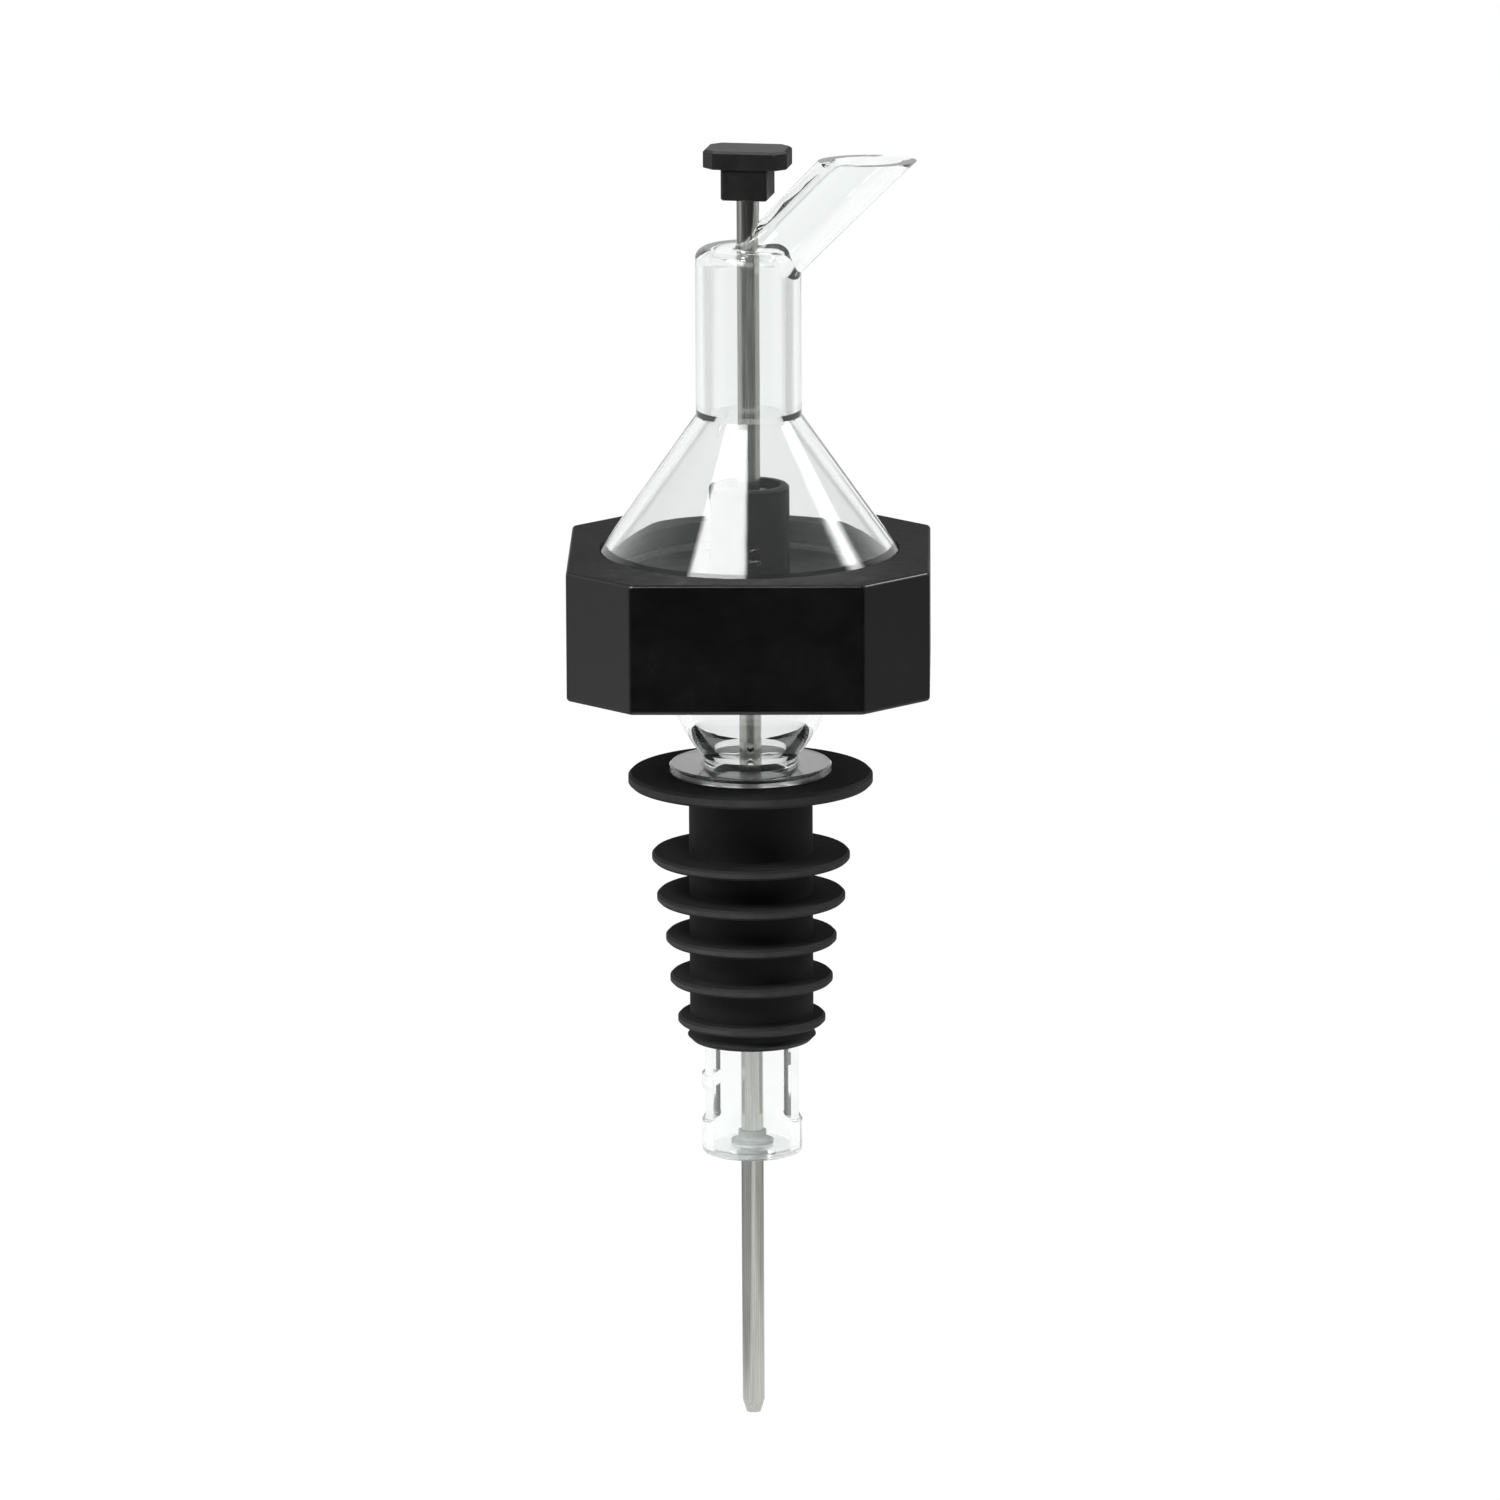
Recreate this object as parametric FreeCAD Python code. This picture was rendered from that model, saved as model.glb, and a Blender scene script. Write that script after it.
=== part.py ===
"""Liquor optic dispenser, in millimetres, +Z up.

It stands as if pushed into a bottle: the stopper below, the press knob above.
The origin is the centre of the stopper flange's underside, where the bottle's lip ends.
The pouring spout leans towards +X.
"""

import FreeCAD, Part
import math
import os

from FreeCAD import Vector

# ---------------------------------------------------------------- sizes
# Clearances
snug_gap = 0.02  # radial, between pieces that are pushed together
running_gap = 0.05  # radial, between the sliding rod and its guides
thread_gap = 0.05  # radial, between the collar and the screwed chamber
seat_gap = 0.02  # axial, left by a closed valve
rest_gap = 0.02  # axial, between clear mouldings and what they rest on
rim_gap = 0.15  # radial, round the funnel where it leaves the collar
flange_gap = 0.15  # radial, round the clamped flange inside the chamber's outer radius
cut_past = 1.0  # how far a cutting tool passes the faces it cuts

# Rubber stopper
flange_radius = 15.3
flange_thickness = 1.55
flange_edge = 0.35
plug_radius = 7.75
plug_length = 32.8
fin_radii = (12.4, 11.8, 10.7, 10.2, 9.25)
first_fin_depth = 8.6
fin_pitch = 5.22
fin_thickness = 1.15
fin_edge = 0.3
end_ring_radius = 8.05
end_ring_height = 1.1
end_ring_chamfer = 0.6

# Clear chamber: tube, disc flange, bowl and measuring chamber in one moulding
tube_radius = 6.3
tube_wall = 1.5
tube_depth = 46.5
disc_radius = 10.15
disc_thickness = 1.15
disc_edge = 0.2
foot_radius = 5.9
foot_height = 0.9
bowl_height = 8.4
bowl_foot_angle = 42.0  # from the axis, where the bowl leaves its foot
bowl_rim_angle = 13.0  # from the axis, where the bowl meets the chamber's floor
throat_radius = 4.7
floor_angle = 12.0  # of the chamber's floor, from the horizontal
chamber_wall = 1.7
chamber_radius = 19.95
sump_blend = 0.9

# Side windows of the tube
window_width = 4.5
window_height = 11.7
window_hidden_height = 1.3  # of the part that runs up inside the stopper
window_corner = 0.6
bridge_drop = 4.5  # below the stopper's end
bridge_height = 1.7

# End of the tube
cap_thickness = 1.2
cap_spigot_height = 0.4
cap_edge = 0.5
bush_body_radius = 1.95
bush_head_radius = 2.65
bush_head_thickness = 0.4
bush_flare = 0.55
bush_lip_wall = 0.3
bush_lip_height = 1.2  # above the head

# Black collar: a square with cut corners
collar_wall = 2.5  # where the bore comes nearest to the flats
collar_corner_cut = 8.1
collar_height = 16.4
collar_bottom_height = 13.6
collar_turn = -1.0  # degrees about Z
collar_edge = 0.5
collar_upright_edge = 0.9
collar_bore_chamfer = 0.5
lip_thickness = 1.4

# Clear funnel, neck and spout
funnel_angle = 35.1  # from the axis
funnel_wall = 1.3
funnel_flange_width = 1.25  # that the collar's lip holds down
funnel_flange_thickness = 1.5
neck_radius = 6.6
neck_wall = 1.9
neck_top_height = 38.15  # above the collar's upper face
neck_top_wall = 1.1
neck_edge = 1.4
neck_inner_edge = 0.8
spout_angle = 45.0  # from the axis
spout_base_radius = 4.05
spout_mouth_radius = 4.35
spout_bore_radius = 3.1
spout_entry_radius = 3.5  # of the socket's bore at the neck's axis; it narrows to the weld
spout_drop = 4.0  # of the spout's axis below the neck's top, on the neck's axis
spout_rise = 10.75  # of the mouth above the neck's top
spout_socket_length = 7.0  # along the spout, of its part that is moulded with the neck

# Gaskets
gasket_thickness = 0.8
gasket_width = 2.2

# Black valve plate and spring cage
plate_thickness = 2.0
hub_radius = 5.4
hub_depth = 0.6
seat_lip_height = 0.4
seat_lip_width = 0.7
outlet_bore_radius = 3.0
cage_radius = 5.0
cage_wall = 0.95
cage_height = 11.7
cage_edge = 0.3
ledge_height = 0.7
port_count = 4
port_width = 1.5
port_height = 2.4
port_lift = 2.2
port_turn = -82.0  # degrees about Z, of the first port

# Plunger rod
rod_radius = 1.4
rod_bore_radius = 0.7
rod_tip_depth = 81.3
rod_tip_radius = 0.9
rod_tip_length = 1.6
breather_radius = 0.47
breather_heights = (4.9, 3.4)
groove_depth = 0.3

# Press knob
knob_width = 10.55
knob_depth = 6.7
knob_thickness = 2.35
knob_corner = 1.4
knob_top_edge = 0.3
knob_bottom_edge = 0.2
block_side = 5.9
block_height = 3.9
block_edge = 0.45
knob_clear_height = 6.25  # of the block above the neck's top
knob_roof = 1.3
knob_turn = -10.0  # degrees about Z

# Valves and clips on the rod
travel = 1.0
clip_radius = 2.4
clip_thickness = 0.5
clip_web = 0.7
clip_opening = 1.9
seal_thickness = 1.2
seal_edge = 0.15
outlet_seal_radius = 4.2
inlet_seal_radius = 3.95
backing_thickness = 0.6
backing_radius = 3.3
inlet_ledge_depth = 7.6
inlet_ledge_thickness = 1.8
inlet_bore_radius = 3.2
inlet_lip_height = 0.3

# Return spring
wire_radius = 0.32
coil_radius = 3.3
coil_turns = 5.5
wire_sides = 6  # flats that stand for the round wire
base_washer_thickness = 0.5
base_washer_bore = 2.5
cap_washer_thickness = 0.6
washer_side_gap = 0.15
cage_head_room = 0.9

# ---------------------------------------------------------------- heights that follow
disc_bottom = flange_thickness + rest_gap
disc_top = disc_bottom + disc_thickness
foot_top = disc_top + foot_height
bowl_top = foot_top + bowl_height
bowl_wall = (foot_radius - throat_radius) / math.cos(math.radians(bowl_foot_angle))
throat_top = foot_top + bowl_wall * math.sin(math.radians(bowl_foot_angle))
tube_bore_radius = tube_radius - tube_wall

chamber_bore_radius = chamber_radius - chamber_wall
collar_bore_radius = chamber_radius + thread_gap
collar_width = 2 * (collar_bore_radius + collar_wall)
funnel_flange_radius = chamber_radius - flange_gap
funnel_rim_radius = funnel_flange_radius - funnel_flange_width

collar_top = collar_bottom_height + collar_height
lip_bottom = collar_top - lip_thickness
funnel_bottom = lip_bottom - funnel_flange_thickness
plate_top = funnel_bottom - gasket_thickness
plate_bottom = plate_top - plate_thickness
chamber_rim = plate_bottom - gasket_thickness
neck_top = collar_top + neck_top_height

outlet_seat = plate_bottom - hub_depth - seat_lip_height
inlet_seat = inlet_lip_height - inlet_ledge_depth
ledge_top = plate_top + ledge_height
cage_top = plate_top + cage_height
cage_bore_radius = cage_radius - cage_wall

outlet_seal_top = outlet_seat - seat_gap
outlet_seal_bottom = outlet_seal_top - seal_thickness
inlet_seal_bottom = inlet_seat + travel + seat_gap
inlet_seal_top = inlet_seal_bottom + seal_thickness

spring_bottom = ledge_top + base_washer_thickness
spring_clip_bottom = cage_top - cage_head_room - clip_thickness
spring_top = spring_clip_bottom - cap_washer_thickness

block_bottom = neck_top + knob_clear_height
knob_bottom = block_bottom + block_height
knob_top = knob_bottom + knob_thickness
rod_top = knob_top - knob_roof

funnel_flare = math.tan(math.radians(funnel_angle))
funnel_inner_radius = funnel_rim_radius - funnel_wall / math.cos(math.radians(funnel_angle))
neck_bottom = collar_top + (funnel_rim_radius - neck_radius) / funnel_flare
spout_mouth_distance = (spout_drop + spout_rise) / math.cos(math.radians(spout_angle))

clip_heights = {
    "spring_clip": spring_clip_bottom,
    "outlet_clip_upper": outlet_seal_top,
    "outlet_clip_lower": outlet_seal_bottom - backing_thickness - clip_thickness,
    "inlet_clip_upper": inlet_seal_top + backing_thickness,
    "inlet_clip_lower": inlet_seal_bottom - clip_thickness,
}


# ---------------------------------------------------------------- drawing helpers
def up(height):
    return Vector(0, 0, height)


def rounded_outline(corners):
    """Closed face in the XZ plane through (radius, height, rounding) corners."""
    points = [Vector(r, 0, z) for r, z, _ in corners]
    edges = []
    first_start = None
    last_end = None
    for i, corner in enumerate(points):
        rounding = corners[i][2]
        to_last = (points[i - 1] - corner).normalize()
        to_next = (points[(i + 1) % len(points)] - corner).normalize()
        start = corner
        end = corner
        arc = None
        if rounding:
            half = to_last.getAngle(to_next) / 2
            reach = rounding / math.tan(half)
            start = corner + to_last * reach
            end = corner + to_next * reach
            inward = (to_last + to_next).normalize()
            middle = corner + inward * (rounding / math.sin(half) - rounding)
            arc = Part.Arc(start, middle, end).toShape()
        if last_end is None:
            first_start = start
        elif not last_end.isEqual(start, 1e-6):
            edges.append(Part.LineSegment(last_end, start).toShape())
        if arc:
            edges.append(arc)
        last_end = end
    edges.append(Part.LineSegment(last_end, first_start).toShape())
    return Part.Face(Part.Wire(edges))


def turned(corners):
    """Solid of revolution about Z of a rounded outline."""
    return rounded_outline(corners).revolve(Vector(0, 0, 0), Vector(0, 0, 1), 360)


def bevelled(radius, bottom, top, edge):
    """Corners of a rim that runs from bottom to top with both edges bevelled."""
    return [
        (radius - edge, bottom, 0),
        (radius, bottom + edge, 0),
        (radius, top - edge, 0),
        (radius - edge, top, 0),
    ]


def ring(outer, inner, bottom, height):
    """Plain washer."""
    top = bottom + height
    return turned(
        [(inner, bottom, 0), (outer, bottom, 0), (outer, top, 0), (inner, top, 0)]
    )


def seal_disc(outer, inner, bottom, height, edge):
    """Washer whose outer edges are bevelled."""
    top = bottom + height
    return turned(
        [
            (inner, bottom, 0),
            *bevelled(outer, bottom, top, edge),
            (inner, top, 0),
        ]
    )


def block(x_size, y_size, bottom, height):
    """Box centred on the Z axis."""
    corner = Vector(-x_size / 2, -y_size / 2, bottom)
    return Part.makeBox(x_size, y_size, height, corner)


def upright_edges(shape):
    """Straight edges parallel to Z."""
    found = []
    for edge in shape.Edges:
        start, end = (vertex.Point for vertex in (edge.Vertexes[0], edge.Vertexes[-1]))
        if (end - start).cross(Vector(0, 0, 1)).Length < 1e-6 and (end - start).Length:
            found.append(edge)
    return found


def edges_at(shape, height):
    """Edges that lie in the plane at one height."""
    return [
        edge
        for edge in shape.Edges
        if abs(edge.BoundBox.ZMin - height) < 1e-6 and edge.BoundBox.ZLength < 1e-6
    ]


def turn_about_z(shape, degrees):
    shape.rotate(Vector(0, 0, 0), Vector(0, 0, 1), degrees)
    return shape


# ---------------------------------------------------------------- stopper and chamber
def bottle_stopper():
    """Rubber plug with a wide flange and thin sealing fins that get smaller downwards."""
    bore = tube_radius + snug_gap
    ring_top = end_ring_height - plug_length
    corners = [
        (bore, -plug_length, 0),
        (end_ring_radius - end_ring_chamfer, -plug_length, 0),
        (end_ring_radius, end_ring_chamfer - plug_length, 0),
        (plug_radius, ring_top, 0),
    ]
    for i, fin_radius in reversed(list(enumerate(fin_radii))):
        fin_top = -first_fin_depth - i * fin_pitch
        fin_bottom = fin_top - fin_thickness
        corners += [
            (plug_radius, fin_bottom, 0),
            *bevelled(fin_radius, fin_bottom, fin_top, fin_edge),
            (plug_radius, fin_top, 0),
        ]
    corners += [
        (plug_radius, 0, 0),
        *bevelled(flange_radius, 0, flange_thickness, flange_edge),
        (bore, flange_thickness, 0),
    ]
    return turned(corners)


def belly_curve(radius, height, foot_angle, rim_angle, rise):
    """Arc of a bowl's wall that bends from one angle to another, both from the axis.

    Gives its upper radius, the corner where its end tangents meet, and its rounding.
    """
    foot = math.radians(foot_angle)
    rim = math.radians(rim_angle)
    rounding = rise / (math.sin(foot) - math.sin(rim))
    upper_radius = radius + rounding * (math.cos(rim) - math.cos(foot))
    tangent = rounding * math.tan((foot - rim) / 2)
    corner = (radius + tangent * math.sin(foot), height + tangent * math.cos(foot))
    return upper_radius, corner, rounding


def tube_windows():
    """Slots on both sides of the tube that let the drink in; one has a bridge across."""
    window_bottom = window_hidden_height - plug_length - window_height
    reach = tube_radius + cut_past
    slot = block(2 * reach, window_width, window_bottom, window_height)
    lengthwise = [edge for edge in slot.Edges if edge.BoundBox.XLength > reach]
    slot = slot.makeFillet(window_corner, lengthwise)
    bridge = Part.makeBox(
        reach,
        window_width,
        bridge_height,
        Vector(-reach, -window_width / 2, -plug_length - bridge_drop - bridge_height),
    )
    return slot.cut(bridge)


def chamber_body():
    """Tube through the stopper, disc flange, bowl and the measuring chamber above."""
    bowl_radius, belly, bowl_rounding = belly_curve(
        foot_radius, foot_top, bowl_foot_angle, bowl_rim_angle, bowl_height
    )
    sump_top = bowl_top + bowl_wall * math.sin(math.radians(bowl_rim_angle))
    sump_radius, sump_belly, sump_rounding = belly_curve(
        throat_radius, throat_top, bowl_foot_angle, bowl_rim_angle, sump_top - throat_top
    )
    floor_slope = math.tan(math.radians(floor_angle))
    floor_edge_height = bowl_top + (chamber_radius - bowl_radius) * floor_slope
    floor_lift = chamber_wall / math.cos(math.radians(floor_angle))
    inner_floor_at_axis = bowl_top + floor_lift - bowl_radius * floor_slope
    inner_edge_height = inner_floor_at_axis + chamber_bore_radius * floor_slope
    rim_flare = math.tan(math.radians(bowl_rim_angle))
    rise = inner_floor_at_axis + sump_radius * floor_slope - sump_top
    sump_rise = rise / (1 - rim_flare * floor_slope)

    inlet_ledge_bottom = -inlet_ledge_depth - inlet_ledge_thickness
    lip_outer = inlet_bore_radius + seat_lip_width
    body = turned(
        [
            (tube_radius, -tube_depth, 0),
            (tube_radius, disc_bottom, 0),
            *bevelled(disc_radius, disc_bottom, disc_top, disc_edge),
            (foot_radius, disc_top, 0),
            (foot_radius, foot_top, 0),
            (*belly, bowl_rounding),
            (bowl_radius, bowl_top, 0),
            (chamber_radius, floor_edge_height, 0),
            (chamber_radius, chamber_rim, 0),
            (chamber_bore_radius, chamber_rim, 0),
            (chamber_bore_radius, inner_edge_height, 0),
            (sump_radius + sump_rise * rim_flare, sump_top + sump_rise, sump_blend),
            (sump_radius, sump_top, 0),
            (*sump_belly, sump_rounding),
            (throat_radius, throat_top, 0),
            (throat_radius, -inlet_ledge_depth, 0),
            (lip_outer, -inlet_ledge_depth, 0),
            (lip_outer, inlet_seat, 0),
            (inlet_bore_radius, inlet_seat, 0),
            (inlet_bore_radius, inlet_ledge_bottom, 0),
            (tube_bore_radius, inlet_ledge_bottom, 0),
            (tube_bore_radius, -tube_depth, 0),
        ]
    )
    return body.cut(tube_windows())


def tube_end_cap():
    """Clear disc that closes the tube's end, with a hole for the rod's bush."""
    bottom = -tube_depth - cap_thickness + cap_spigot_height
    shoulder = -tube_depth - rest_gap
    spigot_top = cap_spigot_height - tube_depth
    spigot_radius = tube_bore_radius - snug_gap
    hole = bush_body_radius + snug_gap
    return turned(
        [
            (hole, bottom, 0),
            (tube_radius, bottom, cap_edge),
            (tube_radius, shoulder, 0),
            (spigot_radius, shoulder, 0),
            (spigot_radius, spigot_top, 0),
            (hole, spigot_top, 0),
        ]
    )


def rod_bush():
    """Flared rubber bush in the end cap that the rod slides through."""
    bottom = -tube_depth - cap_thickness + cap_spigot_height
    floor = cap_spigot_height - tube_depth
    bore = rod_radius + running_gap
    lip = bore + bush_lip_wall
    head_top = floor + bush_head_thickness
    return turned(
        [
            (bore, bottom, 0),
            (bush_body_radius, bottom, 0),
            (bush_body_radius, floor, 0),
            (bush_head_radius, floor, 0),
            (bush_head_radius, head_top, 0),
            (lip, head_top, bush_flare),
            (lip, head_top + bush_lip_height, 0),
            (bore, head_top + bush_lip_height, 0),
        ]
    )


# ---------------------------------------------------------------- collar, cage and gaskets
def collar():
    """Black square ring with cut corners; its lip holds the funnel down on the chamber."""
    half = collar_width / 2
    flat = half - collar_corner_cut
    corners = [
        Vector(x, y, collar_bottom_height)
        for x, y in (
            (flat, -half),
            (half, -flat),
            (half, flat),
            (flat, half),
            (-flat, half),
            (-half, flat),
            (-half, -flat),
            (-flat, -half),
        )
    ]
    outline = Part.Face(Part.makePolygon(corners + corners[:1]))
    body = outline.extrude(up(collar_height))
    body = body.makeFillet(collar_upright_edge, upright_edges(body))
    rims = edges_at(body, collar_bottom_height) + edges_at(body, collar_top)
    body = body.makeFillet(collar_edge, rims)

    hole = funnel_rim_radius + rim_gap
    mouth = collar_bore_radius + collar_bore_chamfer
    inside = turned(
        [
            (0, collar_bottom_height, 0),
            (mouth, collar_bottom_height, 0),
            (collar_bore_radius, collar_bottom_height + collar_bore_chamfer, 0),
            (collar_bore_radius, lip_bottom, 0),
            (hole, lip_bottom, 0),
            (hole, collar_top, 0),
            (0, collar_top, 0),
        ]
    )
    return turn_about_z(body.cut(inside), collar_turn)


def valve_cage():
    """Carrier plate with the outlet's seat below and the tall spring cage above."""
    hub_bottom = plate_bottom - hub_depth
    lip_outer = outlet_bore_radius + seat_lip_width
    body = turned(
        [
            (outlet_bore_radius, outlet_seat, 0),
            (lip_outer, outlet_seat, 0),
            (lip_outer, hub_bottom, 0),
            (hub_radius, hub_bottom, 0),
            (hub_radius, plate_bottom, 0),
            (funnel_flange_radius, plate_bottom, 0),
            (funnel_flange_radius, plate_top, 0),
            (cage_radius, plate_top, 0),
            (cage_radius, cage_top - cage_edge, 0),
            (cage_radius - cage_edge, cage_top, 0),
            (cage_bore_radius, cage_top, 0),
            (cage_bore_radius, ledge_top, 0),
            (outlet_bore_radius, ledge_top, 0),
        ]
    )
    for i in range(port_count):
        port = Part.makeBox(
            cage_wall + 2 * cut_past,
            port_width,
            port_height,
            Vector(cage_bore_radius - cut_past, -port_width / 2, plate_top + port_lift),
        )
        body = body.cut(turn_about_z(port, port_turn + i * 360 / port_count))
    return body


def funnel_gasket():
    """Soft ring between the funnel's flange and the carrier plate."""
    inner = funnel_flange_radius - gasket_width
    return ring(funnel_flange_radius, inner, plate_top, gasket_thickness)


def chamber_gasket():
    """Soft ring between the carrier plate and the chamber's rim."""
    outer = funnel_flange_radius
    return ring(outer, chamber_bore_radius, chamber_rim, gasket_thickness)


# ---------------------------------------------------------------- funnel, neck and spout
def leaning(radius_low, radius_high, first, last):
    """Round bar or frustum along the spout's axis, between two distances from the neck's."""
    lean = math.radians(spout_angle)
    direction = Vector(math.sin(lean), 0, math.cos(lean))
    start = up(neck_top - spout_drop) + direction * first
    length = last - first
    if radius_low == radius_high:
        return Part.makeCylinder(radius_low, length, start, direction)
    return Part.makeCone(radius_low, radius_high, length, start, direction)


def spout_outer_radius(distance):
    """Outer radius of the spout, at a distance from the neck's axis along its own."""
    taper = (spout_mouth_radius - spout_base_radius) / spout_mouth_distance
    return spout_base_radius + taper * distance


def measuring_funnel():
    """Clear cone that takes the drink to the neck, with the flange the collar holds."""
    inner_top = funnel_inner_radius - (neck_bottom - collar_top) * funnel_flare
    return turned(
        [
            (funnel_inner_radius, funnel_bottom, 0),
            (funnel_flange_radius, funnel_bottom, 0),
            (funnel_flange_radius, lip_bottom, 0),
            (funnel_rim_radius, lip_bottom, 0),
            (funnel_rim_radius, collar_top, 0),
            (neck_radius, neck_bottom, 0),
            (inner_top, neck_bottom, 0),
            (funnel_inner_radius, collar_top, 0),
        ]
    )


def funnel_neck():
    """Clear neck welded on the funnel: its roof guides the rod, its socket holds the spout."""
    outside = turned(
        [
            (0, neck_bottom, 0),
            (neck_radius, neck_bottom, 0),
            (neck_radius, neck_top, neck_edge),
            (0, neck_top, 0),
        ]
    )
    neck_bore = neck_radius - neck_wall
    inner_neck_bottom = collar_top + (funnel_inner_radius - neck_bore) / funnel_flare
    inner_foot = neck_bore + (inner_neck_bottom - neck_bottom) * funnel_flare
    neck_roof = neck_top - neck_top_wall
    inside = turned(
        [
            (0, neck_bottom, 0),
            (inner_foot, neck_bottom, 0),
            (neck_bore, inner_neck_bottom, 0),
            (neck_bore, neck_roof, neck_inner_edge),
            (0, neck_roof, 0),
        ]
    )
    socket_end = spout_socket_length
    socket = leaning(
        spout_base_radius, spout_outer_radius(socket_end), 0, socket_end
    )
    body = outside.fuse(socket)
    bore = leaning(spout_entry_radius, spout_bore_radius, 0, socket_end)
    rod_room = neck_top_wall + cut_past + spout_drop + spout_rise
    rod_hole = Part.makeCylinder(rod_radius + running_gap, rod_room, up(neck_roof - cut_past))
    for tool in (inside, bore, rod_hole):
        body = body.cut(tool)
    return body.removeSplitter()


def pouring_spout():
    """Clear leaning tube welded to the neck's socket, its mouth cut level."""
    first = spout_socket_length
    last = spout_mouth_distance + spout_mouth_radius * math.tan(math.radians(spout_angle))
    body = leaning(spout_outer_radius(first), spout_outer_radius(last), first, last)
    bore = leaning(spout_bore_radius, spout_bore_radius, first - cut_past, last + cut_past)
    width = 4 * last
    above = block(width, width, neck_top + spout_rise, last)
    return body.cut(bore).cut(above)


# ---------------------------------------------------------------- plunger
def plunger_rod():
    """Steel tube that carries both valves; its bore lets air up into the bottle."""
    groove_radius = rod_radius - groove_depth
    tip = -rod_tip_depth
    rod = turned(
        [
            (rod_bore_radius, tip, 0),
            (rod_tip_radius, tip, 0),
            (rod_radius, tip + rod_tip_length, 0),
            (rod_radius, rod_top, 0),
            (rod_bore_radius, rod_top, 0),
        ]
    )
    reach = rod_radius + cut_past
    for clip_bottom in clip_heights.values():
        groove = ring(reach, groove_radius, clip_bottom, clip_thickness)
        rod = rod.cut(groove)
    for height in breather_heights:
        start = Vector(0, -reach, height)
        hole = Part.makeCylinder(breather_radius, 2 * reach, start, Vector(0, 1, 0))
        rod = rod.cut(hole)
    return rod


def push_knob():
    """Black pad that the glass presses: an oblong plate on a square block."""
    plate = block(knob_width, knob_depth, knob_bottom, knob_thickness)
    plate = plate.makeChamfer(knob_corner, upright_edges(plate))
    plate = plate.makeChamfer(knob_top_edge, edges_at(plate, knob_top))
    plate = plate.makeFillet(knob_bottom_edge, edges_at(plate, knob_bottom))
    stem = block(block_side, block_side, block_bottom, block_height)
    stem = stem.makeFillet(block_edge, upright_edges(stem))
    stem = stem.makeChamfer(knob_bottom_edge, edges_at(stem, block_bottom))
    socket = Part.makeCylinder(
        rod_radius + snug_gap, rod_top - block_bottom, up(block_bottom)
    )
    return turn_about_z(plate.fuse(stem).cut(socket).removeSplitter(), knob_turn)


def retaining_clip(bottom):
    """Flat open clip that snaps into a groove of the rod on three teeth."""
    clip = ring(clip_radius, clip_radius - clip_web, bottom, clip_thickness)
    groove = rod_radius - groove_depth + snug_gap
    reach = clip_radius - clip_web / 2 - groove
    for angle in (-90, 30, 150):
        tooth = Part.makeBox(
            reach, clip_web, clip_thickness, Vector(groove, -clip_web / 2, bottom)
        )
        clip = clip.fuse(turn_about_z(tooth, angle))
    core = Part.makeCylinder(groove, clip_thickness, up(bottom))
    mouth = Part.makeBox(
        clip_opening,
        2 * clip_radius,
        clip_thickness,
        Vector(-clip_opening / 2, 0, bottom),
    )
    return clip.cut(core).cut(mouth).removeSplitter()


def outlet_seal():
    """Rubber disc pulled up against the carrier's seat while the knob is free."""
    inner = rod_radius + snug_gap
    bottom = outlet_seal_bottom
    return seal_disc(outlet_seal_radius, inner, bottom, seal_thickness, seal_edge)


def outlet_backing():
    """Washer under the outlet seal."""
    bottom = outlet_seal_bottom - backing_thickness
    return ring(backing_radius, rod_radius + snug_gap, bottom, backing_thickness)


def inlet_seal():
    """Rubber disc that shuts the tube's ledge while the knob is pressed."""
    inner = rod_radius + snug_gap
    bottom = inlet_seal_bottom
    return seal_disc(inlet_seal_radius, inner, bottom, seal_thickness, seal_edge)


def inlet_backing():
    """Washer above the inlet seal."""
    inner = rod_radius + snug_gap
    return ring(backing_radius, inner, inlet_seal_top, backing_thickness)


# ---------------------------------------------------------------- spring
def spring_base_washer():
    """Washer on the cage's ledge; the drink passes through its wide hole."""
    outer = cage_bore_radius - washer_side_gap
    return ring(outer, base_washer_bore, ledge_top, base_washer_thickness)


def spring_cap_washer():
    """Washer on top of the spring that pushes the rod's clip up."""
    outer = cage_bore_radius - washer_side_gap
    inner = rod_radius + running_gap
    return ring(outer, inner, spring_top, cap_washer_thickness)


def return_spring():
    """Compression spring of round wire with its two ends ground flat."""
    length = spring_top - spring_bottom
    pitch = length / coil_turns
    helix = Part.makeHelix(pitch, length, coil_radius)
    helix.translate(up(spring_bottom))
    rise = Vector(0, coil_radius * 2 * math.pi, pitch).normalize()
    start = Vector(coil_radius, 0, spring_bottom)
    rim = Part.Circle(start, rise, wire_radius).toShape()
    section = Part.makePolygon(rim.discretize(wire_sides + 1))
    wire = Part.Wire(helix).makePipeShell([section], True, True)
    room = Part.makeCylinder(coil_radius + cut_past, length, up(spring_bottom))
    return wire.common(room)


# ---------------------------------------------------------------- the parts as files
nodes = {
    "bottle_stopper": bottle_stopper,
    "chamber_body": chamber_body,
    "tube_end_cap": tube_end_cap,
    "rod_bush": rod_bush,
    "collar": collar,
    "valve_cage": valve_cage,
    "chamber_gasket": chamber_gasket,
    "funnel_gasket": funnel_gasket,
    "measuring_funnel": measuring_funnel,
    "funnel_neck": funnel_neck,
    "pouring_spout": pouring_spout,
    "spring_base_washer": spring_base_washer,
    "return_spring": return_spring,
    "spring_cap_washer": spring_cap_washer,
    "plunger_rod": plunger_rod,
    "push_knob": push_knob,
    "outlet_seal": outlet_seal,
    "outlet_backing": outlet_backing,
    "inlet_seal": inlet_seal,
    "inlet_backing": inlet_backing,
}

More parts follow.
